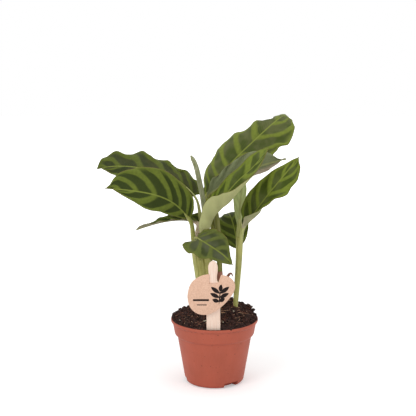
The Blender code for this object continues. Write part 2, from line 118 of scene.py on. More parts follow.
class Finish:
    """A procedural material about one Principled shader, or another owner of nodes."""

    def __init__(self, name, owner=None):
        self.owner = owner or bpy.data.materials.new(name)
        self.owner.use_nodes = True
        self.tree = self.owner.node_tree

    def node(self, kind, settings=None, inputs=None, output=0):
        """Adds any node: its settings first, then the values or links of its sockets."""
        made = self.tree.nodes.new("ShaderNode" + kind)
        for key, value in (settings or {}).items():
            setattr(made, key, value)
        for key, value in (inputs or {}).items():
            self.put(made.inputs[key], value)
        return Value(self, made.outputs[output])

    def put(self, socket, value):
        if isinstance(value, Value):
            self.tree.links.new(value.socket, socket)
        else:
            socket.default_value = value

    def blend(self, amount, first, second):
        """The first colour where amount is 0 and the second where it is 1."""
        return self.node("Mix", dict(data_type="RGBA"), {0: amount, 6: first, 7: second}, 2)

    def here(self, scale=(1.0, 1.0, 1.0)):
        """Object coordinates in millimetres, each axis scaled."""
        place = self.node("TexCoord", output="Object")
        return self.node("Mapping", None, {"Vector": place, "Scale": [s / MM for s in scale]})

    def mottle(self, size, detail=3.0, roughness=0.5, where=None):
        """Cloudy noise from 0 to 1 whose features are about size mm across."""
        where = where or self.here()
        return self.node("TexNoise", None, {"Vector": where, "Scale": 1.0 / size, "Detail": detail,
                                            "Roughness": roughness})

    def carried(self, *names, output="Fac"):
        """The named values that the mesh carries at its points."""
        return [self.node("Attribute", dict(attribute_name=name), output=output) for name in names]

    def surface(self, colour, roughness, height=None, depth=1.0, specular=0.5):
        """Colour, roughness and specular level of the shader, with a bump depth mm deep."""
        shader = self.tree.nodes["Principled BSDF"]
        self.put(shader.inputs["Base Color"], colour)
        self.put(shader.inputs["Roughness"], roughness)
        if height is not None:
            bump = self.node("Bump", None, {"Height": height, "Distance": depth * MM, "Strength": 1.0})
            self.put(shader.inputs["Normal"], bump)
        shader.inputs["Specular IOR Level"].default_value = specular


def srgb(red, green, blue):
    """A colour given as 0-255 display values, as linear RGBA."""
    shown = np.array([red, green, blue]) / 255.0
    linear = np.where(shown <= 0.04045, shown / 12.92, ((shown + 0.055) / 1.055) ** 2.4)
    return (*linear.tolist(), 1.0)


sky = Finish("white_room", bpy.data.worlds.new("white_room"))
scene.world = sky.owner
seen_camera, seen_glossy, seen_through = (
    sky.node("LightPath", output=name) for name in ("Is Camera Ray", "Is Glossy Ray", "Is Transmission Ray"))
seen = seen_camera.larger(seen_glossy).larger(seen_through)
background = sky.tree.nodes["Background"]
background.inputs["Color"].default_value = (1.0, 1.0, 1.0, 1.0)
sky.put(background.inputs["Strength"], 0.7 + 0.3 * seen)

bm = bmesh.new()
bmesh.ops.create_grid(bm, x_segments=1, y_segments=1, size=2.0)
bmesh.ops.translate(bm, verts=bm.verts, vec=(0.0, 0.0, -0.0003))
mesh = bpy.data.meshes.new("floor")
bm.to_mesh(mesh)
bm.free()
paper = Finish("white_paper")
paper.surface(srgb(236, 236, 236), 0.9, specular=0.0)
glow = paper.tree.nodes["Principled BSDF"].inputs
glow["Emission Strength"].default_value = 1.0
lit = paper.node("LightPath", output="Is Camera Ray").larger(paper.node("LightPath", output="Is Glossy Ray"))
middle_out = paper.node("VectorMath", dict(operation="LENGTH"), {0: paper.here((MM, MM, MM))}, "Value")
paper.put(glow["Emission Color"], paper.blend(lit * (0.32 + 0.6 * middle_out.rises(0.25, 0.8)),
                                              srgb(0, 0, 0), srgb(255, 255, 255)))
mesh.materials.append(paper.owner)
floor = bpy.data.objects.new("floor", mesh)
scene.collection.objects.link(floor)


# ============================================ pot
# A thin injection-moulded nursery pot in terracotta-coloured plastic. Its tapered body steps out to a
# collar under a narrow flange, and three small pockets under the foot let water out.

def make_piece(name, bm, finishes, sharp_angle=40.0):
    """A shown piece that rides on the model's one body."""
    mesh = bpy.data.meshes.new(name)
    bm.to_mesh(mesh)
    bm.free()
    for finish in finishes:
        mesh.materials.append(finish.owner)
    mesh.shade_smooth()
    mesh.set_sharp_from_angle(angle=radians(sharp_angle))
    piece = bpy.data.objects.new(name, mesh)
    scene.collection.objects.link(piece)
    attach(piece, "root")
    return piece


def rounded(corners, radius, steps=3):
    """The corners as a path whose turns are eased over about the given radius."""
    corners = [Vector(c) for c in corners]
    path = [corners[0]]
    for before, corner, after in zip(corners, corners[1:], corners[2:]):
        reach_in = min(radius, (before - corner).length * 0.45)
        reach_out = min(radius, (after - corner).length * 0.45)
        start = corner + (before - corner).normalized() * reach_in
        end = corner + (after - corner).normalized() * reach_out
        for t in np.linspace(0.0, 1.0, steps + 1):
            path.append(start * (1 - t) ** 2 + corner * 2 * t * (1 - t) + end * t**2)
    return path + [corners[-1]]


def turned(profile, steps):
    """A closed solid turned about the Z axis from (radius, height) points in mm."""
    bm = bmesh.new()
    corners = [bm.verts.new((r * MM, 0.0, z * MM)) for r, z in profile]
    edges = [bm.edges.new(pair) for pair in zip(corners, corners[1:])]
    bmesh.ops.spin(bm, geom=corners + edges, cent=(0, 0, 0), axis=(0, 0, 1), angle=2 * pi, steps=steps,
                   use_merge=True)
    bmesh.ops.remove_doubles(bm, verts=bm.verts, dist=0.005 * MM)
    bmesh.ops.recalc_face_normals(bm, faces=bm.faces)
    return bm


def sectors(profile, half_angle, centres):
    """Closed blocks, each the (radius, height) profile swept round the Z axis about one centre."""
    bm = bmesh.new()
    for centre in centres:
        turn = Matrix.Rotation(radians(centre) - half_angle, 3, "Z")
        face = bm.faces.new([bm.verts.new(turn @ Vector((r * MM, 0.0, z * MM))) for r, z in profile])
        start = bmesh.ops.duplicate(bm, geom=[face])["geom"]
        swept = [item for item in start if isinstance(item, bmesh.types.BMFace)]
        bmesh.ops.spin(bm, geom=swept, cent=(0, 0, 0), axis=(0, 0, 1), angle=2 * half_angle, steps=8)
    bmesh.ops.remove_doubles(bm, verts=bm.verts, dist=0.005 * MM)
    bmesh.ops.recalc_face_normals(bm, faces=bm.faces)
    return bm


def workpiece(bm):
    """A passing object that holds the bmesh while it is cut."""
    mesh = bpy.data.meshes.new("workpiece")
    bm.to_mesh(mesh)
    bm.free()
    made = bpy.data.objects.new("workpiece", mesh)
    scene.collection.objects.link(made)
    return made


def combined(bm, *steps):
    """The bmesh after each (operation, other bmesh) in turn."""
    blank = workpiece(bm)
    for operation, tool in steps:
        cutter = workpiece(tool)
        modifier = blank.modifiers.new("Cut", "BOOLEAN")
        modifier.operation = operation
        modifier.object = cutter
        modifier.solver = "EXACT"
        depsgraph = bpy.context.evaluated_depsgraph_get()
        result = bpy.data.meshes.new_from_object(blank.evaluated_get(depsgraph))
        blank.modifiers.clear()
        blank.data = result
        bpy.data.objects.remove(cutter, do_unlink=True)
    made = bmesh.new()
    made.from_mesh(blank.data)
    bpy.data.objects.remove(blank, do_unlink=True)
    return made


_, pot_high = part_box("pot")
pot_height = pot_high.z / MM
rim_radius = pot_high.x / MM
flange_foot = pot_height - 4.2
wall = 1.3
ledge_height = 51.5
ledge_radius = 41.3
body_top = 38.4
body_foot = 30.6
pocket_angles = (-55.0, 65.0, 185.0)
pocket_height = 5.2
pocket_depth = 7.5
pocket_half_angle = 8.4 / body_foot
drain_radius = 2.0
drain_place = 26.5

outside = [
    (0.0, 0.0), (28.4, 0.0), (body_foot - 0.1, 2.0), (body_top, ledge_height - 2.5),
    (ledge_radius - 0.2, ledge_height - 0.2), (rim_radius - 1.8, flange_foot),
    (rim_radius, pot_height - 2.6), (rim_radius, pot_height - 0.1), (rim_radius - 0.6, pot_height),
]
inside = [
    (rim_radius - 1.2, pot_height), (ledge_radius - wall, ledge_height + 1.6),
    (body_top - wall, ledge_height - 1.2), (body_foot - wall, 3.2), (28.0, wall + 0.1), (0.0, wall + 0.1),
]
pocket_floor = body_foot - pocket_depth
wall_middle = body_foot - wall / 2
housing = [(pocket_floor - wall, 0.8), (wall_middle - 1.2, 0.8), (wall_middle, 3.0),
           (wall_middle + 0.2, pocket_height + wall), (pocket_floor - wall, pocket_height + wall)]
pocket = rounded([(pocket_floor, -2.0), (rim_radius, -2.0), (rim_radius, pocket_height),
                  (pocket_floor, pocket_height)], 0.8)
drains = bmesh.new()
spot = Matrix.Translation((drain_place * MM, 0, pocket_height * MM))
for angle in pocket_angles:
    bmesh.ops.create_cone(drains, cap_ends=True, segments=24, radius1=drain_radius * MM,
                          radius2=drain_radius * MM, depth=6 * MM,
                          matrix=Matrix.Rotation(radians(angle), 4, "Z") @ spot)
pot_mesh = combined(
    turned(rounded(outside + inside, 0.9), steps=144),
    ("UNION", sectors(housing, pocket_half_angle + wall / body_foot, pocket_angles)),
    ("DIFFERENCE", sectors(pocket, pocket_half_angle, pocket_angles)), ("DIFFERENCE", drains))

terracotta = Finish("terracotta_plastic")
height = terracotta.node("SeparateXYZ", None, {0: terracotta.here()}, 2)
cloud = terracotta.mottle(22.0)
streaks = terracotta.mottle(1.0, 4.0, 0.6, terracotta.here((0.5, 0.5, 0.03)))
clay = terracotta.blend(cloud.rises(0.3, 0.7), srgb(184, 92, 70), srgb(175, 88, 67))
clay = terracotta.blend(streaks.rises(0.35, 0.75) * 0.18, clay, srgb(188, 104, 86))
# Painted shade: the lowest few millimetres turn darker and redder, where the wall curves under towards the
# floor.
painted_foot_shade = height.rises(3.5, 0.5) * 0.6
clay = terracotta.blend(painted_foot_shade, clay, srgb(172, 66, 42))
# Patchy dark marks in the band just under the flange are partly dirt and partly painted shade of the
# flange's overhang; the ledge gets faint dirt marks and the whole wall dark specks.
shade_smudges = terracotta.mottle(1.0, 3.0, 0.6, terracotta.here((0.28, 0.28, 2.5)))
under_flange = (height.rises(flange_foot - 1.3, flange_foot - 0.2)
                * height.rises(flange_foot + 1.8, flange_foot + 0.8))
stain_and_shade = shade_smudges.rises(0.52, 0.66) * under_flange * 0.8
on_ledge = (height.rises(ledge_height - 1.4, ledge_height - 0.6)
            * height.rises(ledge_height + 0.8, ledge_height))
stain_and_shade = stain_and_shade + terracotta.mottle(2.5).rises(0.5, 0.75) * on_ledge * 0.35
specks = terracotta.mottle(2.2, 1.0, 0.3).rises(0.745, 0.78) * 0.55
clay = terracotta.blend((stain_and_shade + specks).rises(0.0, 1.0), clay, srgb(92, 46, 38))
relief = streaks * 0.1 + terracotta.mottle(0.8) * 0.3
terracotta.surface(clay, 0.48 + 0.14 * cloud, relief, 0.03, specular=0.28)

pot = make_piece("nursery_pot", pot_mesh, [terracotta], sharp_angle=28.0)
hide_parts("pot")


# ============================================ soil
# Loose dark peat with coir fibres, crumbs of bark and a few pale grains, heaped a little above the
# rim at the back right, where the plant was pushed in.

soil_level = 66.7
soil_edge = 43.4
heaps = ((8.0, 16, 24, 130.0), (4.5, 36, 20, 130.0), (4.2, 22, 1, 80.0))   # height, x, y and spread
stick_x = -1.2


def soil_height(x, y):
    """Height of the soil, mm: a crown, a slope up to the back, the heaps and a dip at the stick."""
    level = soil_level + 7.0 * max(0.0, 1.0 - (x * x + y * y) / soil_edge**2) + 1.1 * (y / soil_edge + 1.0)
    for height, heap_x, heap_y, spread in heaps:
        level += height * np.exp(-((x - heap_x) ** 2 + (y - heap_y) ** 2) / spread)
    return level - 3.6 * np.exp(-(((x - stick_x) / 8.5) ** 4 + ((y + 43) / 4.5) ** 2))


def lumpy(x, y):
    """Uneven height of the loose top, mm."""
    coarse = noise.noise(Vector((x, y, 0.0)) * 0.16)
    fine = noise.noise(Vector((x, y, 40.0)) * 0.5)
    return 1.3 * coarse + 0.8 * fine


soil_foot = 4.6
soil_reach = rim_radius - 0.6
rings = np.linspace(soil_reach, 0.0, 46)
walls = [(0.0, soil_foot), (29.3, soil_foot), (36.8, ledge_height - 0.9), (39.7, ledge_height + 2.0),
         (43.0, pot_height - 1.0), (43.2, pot_height + 0.05)]
bm = turned(walls + [(r, pot_height + 1.0) for r in rings], steps=120)
for vert in bm.verts:
    if vert.co.z > (pot_height + 0.5) * MM:
        x, y = vert.co.x / MM, vert.co.y / MM
        inward = min(1.0, (soil_reach - np.hypot(x, y)) / 2.5)
        top = soil_height(x, y) - 0.3 + lumpy(x, y) * (0.3 + 0.7 * inward)
        by_stick = abs(x - stick_x) < 9.0 and y < -36.0
        vert.co.z = ((top if by_stick else max(top, pot_height + 0.1 + 0.5 * inward)) * inward
                     + (pot_height + 0.1 + 0.35 * (1 + y / 45)) * (1 - inward)) * MM


def peat(name, tinted):
    """Peat: near-black brown, with red-brown flecks. Loose bits carry a tint of their own."""
    finish = Finish(name)
    fleck = finish.mottle(1.6, 4.0, 0.7)
    grain = finish.mottle(0.5, 2.0, 0.6)
    earth = finish.blend(fleck.rises(0.35, 0.7), srgb(43, 29, 27), srgb(72, 52, 46))
    if tinted:
        tint, = finish.carried("tint", output="Color")
        earth = finish.node("Mix", dict(data_type="RGBA", blend_type="MULTIPLY"),
                            {0: 1.0, 6: earth, 7: tint}, 2)
    finish.surface(earth, 0.85 + 0.1 * grain, grain + fleck * 2.0, 0.35, specular=0.2)
    return finish


soil = make_piece("peat_top", bm, [peat("peat", False)])
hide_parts("soil")

rng = np.random.default_rng(11)


def to_metres(bm):
    """Brings a mesh drawn in mm to the scene's metres."""
    bmesh.ops.scale(bm, vec=(MM, MM, MM), verts=bm.verts)


def on_soil(reach):
    """A random point on the soil, mm, clear of the label stick's foot."""
    while True:
        radius, angle = reach * rng.random() ** 0.5, 2 * pi * rng.random()
        x, y = radius * cos(angle), radius * sin(angle)
        if abs(x - stick_x) > 8.5 or y > -38.0:
            return Vector((x, y, soil_height(x, y) - 0.3))


def scatter(name, count, sizes, stretch, tints, finish, reach=43.6):
    """Small rough lumps lying on the soil, each with its own size, turn and tint."""
    bm = bmesh.new()
    tint = bm.loops.layers.float_color.new("tint")
    for _ in range(count):
        size = sizes[0] + (sizes[1] - sizes[0]) * rng.random() ** 2.5
        shape = Matrix.Diagonal([size * s for s in 1 + (np.array(stretch) - 1) * rng.random(3)]).to_4x4()
        turn = Matrix.Rotation(2 * pi * rng.random(), 4, rng.normal(size=3)) @ shape
        spot = on_soil(reach) + Vector((0, 0, 0.35 * size))
        made = bmesh.ops.create_icosphere(bm, subdivisions=1, radius=1.0,
                                          matrix=Matrix.Translation(spot) @ turn)
        colour = tints[rng.integers(len(tints))]
        shade = 0.7 + 0.6 * rng.random()
        for vert in made["verts"]:
            vert.co += Vector(rng.normal(size=3)) * 0.16 * size
            for loop in vert.link_loops:
                loop[tint] = (*[c * shade for c in colour], 1.0)
    to_metres(bm)
    piece = make_piece(name, bm, [finish], sharp_angle=70.0)


loose_peat = peat("loose_peat", True)
brown, red_brown, tan_bark = (1.0, 0.97, 0.95), (1.5, 1.2, 1.1), (2.4, 1.9, 1.7)
scatter("peat_crumbs", 1700, (0.4, 1.8), (1.5, 1.5, 1.0), [brown, brown, brown, red_brown], loose_peat)
scatter("bark_chips", 130, (0.5, 1.3), (3.2, 1.4, 0.5), [red_brown, tan_bark, brown], loose_peat)
scatter("pale_grains", 12, (0.45, 0.9), (1.4, 1.2, 1.0), [(12.0, 14.0, 12.0)], loose_peat, 40.0)


def unit(vectors):
    """The vectors at length 1."""
    return vectors / np.linalg.norm(vectors, axis=-1, keepdims=True).clip(1e-9)


def tube(bm, centres, radii, sides, wrap=0.0, seam=0.0, ridges=0.0, broad=1.0):
    """A closed tube about a path in mm, its sides made by bending a grid round it.

    wrap is how far the outer layer stands over the inner one where a rolled edge ends, as a share
    of the radius, seam that edge's place in degrees, and ridges the depth of five ribs. broad
    stretches the section across.
    """
    rows = len(centres)
    tangent = unit(np.gradient(centres, axis=0))
    side = unit(np.cross(tangent, (0.0, 1.0, 0.0)))
    out = np.cross(side, tangent)
    made = bmesh.ops.create_grid(bm, x_segments=sides, y_segments=rows - 1, size=0.5)["verts"]
    for vert in made:
        column, row = round((vert.co.x + 0.5) * sides), round((vert.co.y + 0.5) * (rows - 1))
        share = 0.0 if column == sides else column / (sides - 1) if wrap else column / sides
        angle = radians(seam) + 2 * pi * share
        radius = radii[row] * (1 + wrap * (share - 0.5) + ridges * cos(5 * angle))
        vert.co = centres[row] + radius * (broad * cos(angle) * side[row] - sin(angle) * out[row])
    bmesh.ops.remove_doubles(bm, verts=made, dist=1e-4)
    made = [v for v in made if v.is_valid]
    open_edges = {e for v in made for e in v.link_edges if e.is_boundary}
    bmesh.ops.holes_fill(bm, edges=list(open_edges), sides=0)


bm = bmesh.new()
tint = bm.loops.layers.float_color.new("tint")
for _ in range(320):
    start = on_soil(41.0) + Vector((0, 0, 0.5))
    heading = 2 * pi * rng.random()
    length = rng.uniform(3.0, 13.0)
    bow = rng.uniform(-0.5, 0.5)
    lift = rng.uniform(0.0, 0.9) if rng.random() < 0.8 else rng.uniform(1.0, 2.4)
    path = []
    for t in np.linspace(-0.5, 0.5, 6):
        x = start.x + length * (t * cos(heading) - bow * t * t * sin(heading))
        y = start.y + length * (t * sin(heading) + bow * t * t * cos(heading))
        inward = min(1.0, 43.6 / max(1.0, np.hypot(x, y)))
        path.append((x * inward, y * inward, soil_height(x, y) - 0.1 + lift * (0.6 + t)))
    before = set(bm.faces)
    tube(bm, np.array(path), rng.uniform(0.11, 0.36) * np.array([0.7, 1, 1, 1, 0.9, 0.5]), 4)
    colour = [(5.5, 4.8, 3.8), (13.0, 15.0, 11.5), (3.0, 2.1, 1.6)][rng.integers(3)]
    for face in set(bm.faces) - before:
        for loop in face.loops:
            loop[tint] = (*colour, 1.0)
to_metres(bm)
fibres = make_piece("coir_fibres", bm, [loose_peat])

bm = bmesh.new()
for x, y, size in ((-9.6, -27.0, 1.5), (-35.5, -17.0, 1.2), (19.4, -7.0, 1.3), (8.5, -30.0, 0.8)):
    shape = Matrix.Rotation(x, 4, "Z") @ Matrix.Diagonal((1.3 * size, 0.8 * size, 0.6 * size, 1.0))
    place = Matrix.Translation((x, y, soil_height(x, y) + 0.9))
    made = bmesh.ops.create_icosphere(bm, subdivisions=1, radius=1.0, matrix=place @ shape)
    for vert in made["verts"]:
        vert.co += Vector(rng.normal(size=3)) * 0.14 * size
to_metres(bm)
chalk = Finish("pale_mineral")
chalk.surface(chalk.blend(chalk.mottle(1.0), srgb(226, 219, 198), srgb(176, 164, 138)), 0.9)
flakes = make_piece("pale_flakes", bm, [chalk], sharp_angle=30.0)


# ============================================ label stick
# A flat birch label stick, stamped from veneer, with a narrow neck and a rounded head. It is pushed
# into the soil against the front of the pot and leans slightly out.

stick_thickness = 1.5
stick_lean = radians(4.4)
stick_at_soil = Vector((stick_x, -41.0, 67.0))
blade, neck, head = 6.9, 3.75, 4.8      # half widths
head_height = 65.0                      # of its centre, above the soil


def plate(outlines, thickness, front=0.0):
    """Flat plates along the XZ plane, mm, from y = front to front + thickness."""
    bm = bmesh.new()
    faces = [bm.faces.new([bm.verts.new((x, front, z)) for x, z in outline]) for outline in outlines]
    walls = bmesh.ops.extrude_face_region(bm, geom=faces)["geom"]
    moved = [item for item in walls if isinstance(item, bmesh.types.BMVert)]
    bmesh.ops.translate(bm, verts=moved, vec=(0, thickness, 0))
    bmesh.ops.recalc_face_normals(bm, faces=bm.faces)
    return bm


def ease_rims(bm, width):
    """Rounds the sharp edges of a plate."""
    sharp = [e for e in bm.edges if len(e.link_faces) == 2 and e.calc_face_angle() > 1.0]
    bmesh.ops.bevel(bm, geom=sharp, offset=width, offset_type="OFFSET", segments=2, profile=0.5,
                    affect="EDGES", material=-1, clamp_overlap=True)


shoulder = rounded([(2.5, -13.0), (blade, -9.5), (blade, 48.6), (neck, 51.6), (neck, 56.5),
                    (head - 0.25, 60.8), (head, head_height)], 2.2, 5)
crown = [(head * cos(a), head_height + 7.6 * sin(a)) for a in np.linspace(0.0, pi / 2, 16)]
right_side = [tuple(p) for p in shoulder] + crown[1:]
bm = plate([right_side + [(-x, z) for x, z in reversed(right_side[:-1])]], stick_thickness)
ease_rims(bm, 0.28)
lean = Matrix.Translation(stick_at_soil) @ Matrix.Rotation(stick_lean, 4, "X")
lean = lean @ Matrix.Rotation(radians(-0.5), 4, "Y")
bmesh.ops.transform(bm, matrix=Matrix.Scale(MM, 4) @ lean, verts=bm.verts)

birch = Finish("birch_veneer")
grain = birch.mottle(1.0, 5.0, 0.6, birch.here((1.3, 0.6, 0.045)))
rays = birch.mottle(1.0, 2.0, 0.5, birch.here((3.5, 1.0, 0.3)))
wood = birch.blend(grain.rises(0.3, 0.72), srgb(255, 232, 215), srgb(243, 211, 190))
wood = birch.blend(rays.rises(0.56, 0.72) * 0.4, wood, srgb(216, 178, 154))
birch.surface(wood, 0.62, grain + rays, 0.06, specular=0.3)
stick = make_piece("birch_label_stick", bm, [birch], sharp_angle=50.0)
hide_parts("label_stick")


# ============================================ plant tag
# A die-cut kraft card in a rounded pick shape, slotted over the neck of the stick. It is printed in
# one dark ink with a plain sprig over two plain rules, and carries no words.

tag_thickness = 0.8
slot_foot = 116.2
tag_gap = 0.4
tag_front = stick_at_soil.y - (slot_foot - stick_at_soil.z) * tan(stick_lean) - tag_gap - tag_thickness
tag_corners = [
    (-26.0, -12.5), (-22.3, 0.3), (-10.0, 8.6), (6.6, 9.0), (17.6, 5.2), (21.3, -1.2),
    (15.8, -15.5), (5.8, -25.8), (-7.5, -32.3), (-18.0, -30.0), (-24.6, -21.5), (-26.0, -12.5),
]


def smooth_path(points, count):
    """Points evenly spaced along the natural cubic spline through the given points."""
    points = np.asarray(points, float)
    steps = np.linalg.norm(np.diff(points, axis=0), axis=1)
    knots = np.concatenate([[0.0], np.cumsum(steps)])
    size = len(points)
    slopes = np.diff(points, axis=0) / steps[:, None]
    system = np.eye(size)
    bends = np.zeros((size, points.shape[1]))
    for i in range(1, size - 1):
        system[i, i - 1:i + 2] = steps[i - 1], 2.0 * (steps[i - 1] + steps[i]), steps[i]
        bends[i] = 6.0 * (slopes[i] - slopes[i - 1])
    bends = np.linalg.solve(system, bends)

    def at(values):
        i = np.clip(np.searchsorted(knots, values) - 1, 0, size - 2)
        step = steps[i][:, None]
        t = (values - knots[i])[:, None]
        slope = slopes[i] - step * (2.0 * bends[i] + bends[i + 1]) / 6.0
        return (points[i] + slope * t + bends[i] / 2.0 * t**2
                + (bends[i + 1] - bends[i]) / (6.0 * step) * t**3)

    fine = np.linspace(0.0, knots[-1], 600)
    lengths = np.concatenate([[0.0], np.cumsum(np.linalg.norm(np.diff(at(fine), axis=0), axis=1))])
    return at(np.interp(np.linspace(0.0, lengths[-1], count), lengths, fine))


slot_half = neck + 0.6
opening = [(-slot_half, 0.0), (slot_half, 0.0), (slot_half + 5.0, 14.0), (-slot_half, 14.0)]
bm = combined(plate([smooth_path(tag_corners, 97)[:-1]], tag_thickness),
              ("DIFFERENCE", plate([opening], 10.0, -5.0)))
bmesh.ops.remove_doubles(bm, verts=bm.verts, dist=0.01)
ease_rims(bm, 0.2)
tag_place = Matrix.Scale(MM, 4) @ Matrix.Translation((stick_at_soil.x, tag_front, slot_foot))
bmesh.ops.transform(bm, matrix=tag_place, verts=bm.verts)

kraft = Finish("kraft_card")
pulp = kraft.mottle(1.3, 5.0, 0.8)
threads = kraft.mottle(1.0, 3.0, 0.6, kraft.here((0.35, 1.0, 2.2)))
card = kraft.blend(pulp.rises(0.38, 0.62), srgb(238, 198, 173), srgb(222, 180, 154))
card = kraft.blend(threads.rises(0.62, 0.74) * 0.5, card, srgb(196, 152, 126))
kraft.surface(card, 0.82, pulp + threads, 0.05, specular=0.2)
tag = make_piece("kraft_plant_tag", bm, [kraft], sharp_angle=50.0)
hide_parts("plant_tag")


def leaflet(foot, tip, width):
    """A pointed oval between two points, as an outline."""
    foot, tip = np.array(foot, float), np.array(tip, float)
    along = tip - foot
    across = np.array([-along[1], along[0]]) / np.linalg.norm(along) * width / 2
    t = np.linspace(0.0, 1.0, 9)
    bulge = np.sin(pi * t) ** 0.8
    upper = [foot + along * s + across * b for s, b in zip(t, bulge)]
    lower = [foot + along * s - across * b for s, b in zip(t, bulge)]
    return upper + lower[-2:0:-1]


ink_thickness, ink_sunk = 0.06, 0.02
shapes = [leaflet((5.4, -22.0), (6.8, -6.0), 1.2)]
for foot, left, right in ((-18.6, (-1.2, -16.4), (11.2, -15.0)), (-14.6, (-3.4, -9.9), (15.2, -9.8)),
                          (-10.4, (-2.6, -3.4), (15.6, -3.2))):
    stem_x = 5.4 + (foot + 22.0) * 0.0875
    shapes += [leaflet((stem_x, foot), left, 4.2), leaflet((stem_x, foot), right, 4.2)]
shapes.append(leaflet((6.5, -8.4), (7.6, -0.8), 4.0))
rules = [((-20.4, -18.0), (-4.6, -16.0)), ((-16.6, -22.4), (-6.8, -21.5))]
for (left, low), (right, high) in rules:
    shapes.append([(left, low), (right, low), (right, high), (left, high)])
bm = plate(shapes, ink_thickness, ink_sunk - ink_thickness)
bmesh.ops.transform(bm, matrix=tag_place, verts=bm.verts)
ink = Finish("brown_black_ink")
pigment = ink.blend(ink.mottle(0.7).rises(0.3, 0.8), srgb(26, 18, 18), srgb(40, 30, 28))
ink.surface(pigment, 0.7, specular=0.15)
print_piece = make_piece("tag_print", bm, [ink])


# ============================================ stems
# Each leaf stands on a slim stalk. The stalks leave grooved, fleshy sheaths whose edges wrap over one
# another, so a ridge runs up each sheath where its outer layer ends.

def stem_finish(name, pale, green, shadow):
    """Lengthwise streaks of green on a paler ground, with a faint sheen."""
    finish = Finish(name)
    pale, green, shadow = srgb(*pale), srgb(*green), srgb(*shadow)
    cords = finish.mottle(1.0, 4.0, 0.65, finish.here((0.8, 0.8, 0.03)))
    patches = finish.mottle(9.0, 2.0, 0.5, finish.here((1.0, 1.0, 0.5)))
    skin = finish.blend(cords.rises(0.35, 0.68), pale, green)
    skin = finish.blend(patches.rises(0.45, 0.75) * 0.5, skin, shadow)
    finish.surface(skin, 0.42 + 0.1 * patches, cords, 0.25, specular=0.4)
    return finish


sheath_green = stem_finish("sheath_green", (188, 186, 112), (150, 151, 78), (130, 128, 62))
stalk_green = stem_finish("stalk_green", (158, 158, 86), (128, 134, 56), (116, 116, 58))
# Painted shade: a darker, more olive copy of the stalk green, for the sheath and stalks at the back of the
# clump.
shaded_olive_stalk = stem_finish("shaded_olive_stalk", (142, 142, 72), (112, 116, 46), (108, 100, 56))
stalk_light = stem_finish("stalk_light", (190, 192, 124), (158, 162, 92), (146, 148, 82))
stalk_blush = stem_finish("stalk_blush", (212, 190, 168), (180, 166, 126), (190, 160, 140))


def stem(name, points, radii, finish, node, slot, rings=40, sides=20, **edge):
    """A stem along a path in mm, its radius following the given values from foot to top."""
    bm = bmesh.new()
    size = np.interp(np.linspace(0, 1, rings), np.linspace(0, 1, len(radii)), radii)
    tube(bm, smooth_path(points, rings), size, sides, **edge)
    bmesh.ops.recalc_face_normals(bm, faces=bm.faces)
    to_metres(bm)
    piece = make_piece(name, bm, [finish], sharp_angle=50.0)
    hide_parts(node)


# each one's path, its radii, the place of its seam in degrees, and its breadth
sheaths = {
    "left": ([(-12, -3, 66), (-12, -3, 78), (-13.3, -4, 98), (-15.6, -5, 125), (-19.2, -7.6, 147)],
             (3.3, 3.3, 3.5, 4.2, 3.7), 70.0, 1.4),
    "middle": ([(-7, 1, 66), (-7, 1, 78), (-7.6, -0.5, 98), (-7.4, -4.5, 125), (-9.4, -11, 149)],
               (2.9, 2.9, 3.1, 3.5, 3.3), 110.0, 1.0),
    "rear": ([(4, 4, 66), (4, 4, 78), (5.4, 4.2, 98), (5.4, 5, 120), (5.2, 5.4, 136)],
             (2.8, 2.8, 2.8, 2.8, 2.8), 60.0, 1.0),
    "right": ([(22, 3, 66), (22, 3, 76), (23, 2.4, 96), (24.8, 1.5, 122), (25.8, 1, 153)],
              (1.6, 2.7, 3.0, 3.4, 3.7), 50.0, 1.0),
}
for side, (path, radii, seam, broad) in sheaths.items():
    # The rear sheath takes the darker olive stalk finish, painted shade for its place at the back.
    finish = shaded_olive_stalk if side == "rear" else sheath_green
    stem("leaf_sheath_" + side, path, radii, finish, "sheath_" + side, "leaf_sheath", 48, 36, wrap=0.13,
         seam=seam, ridges=0.02, broad=broad)

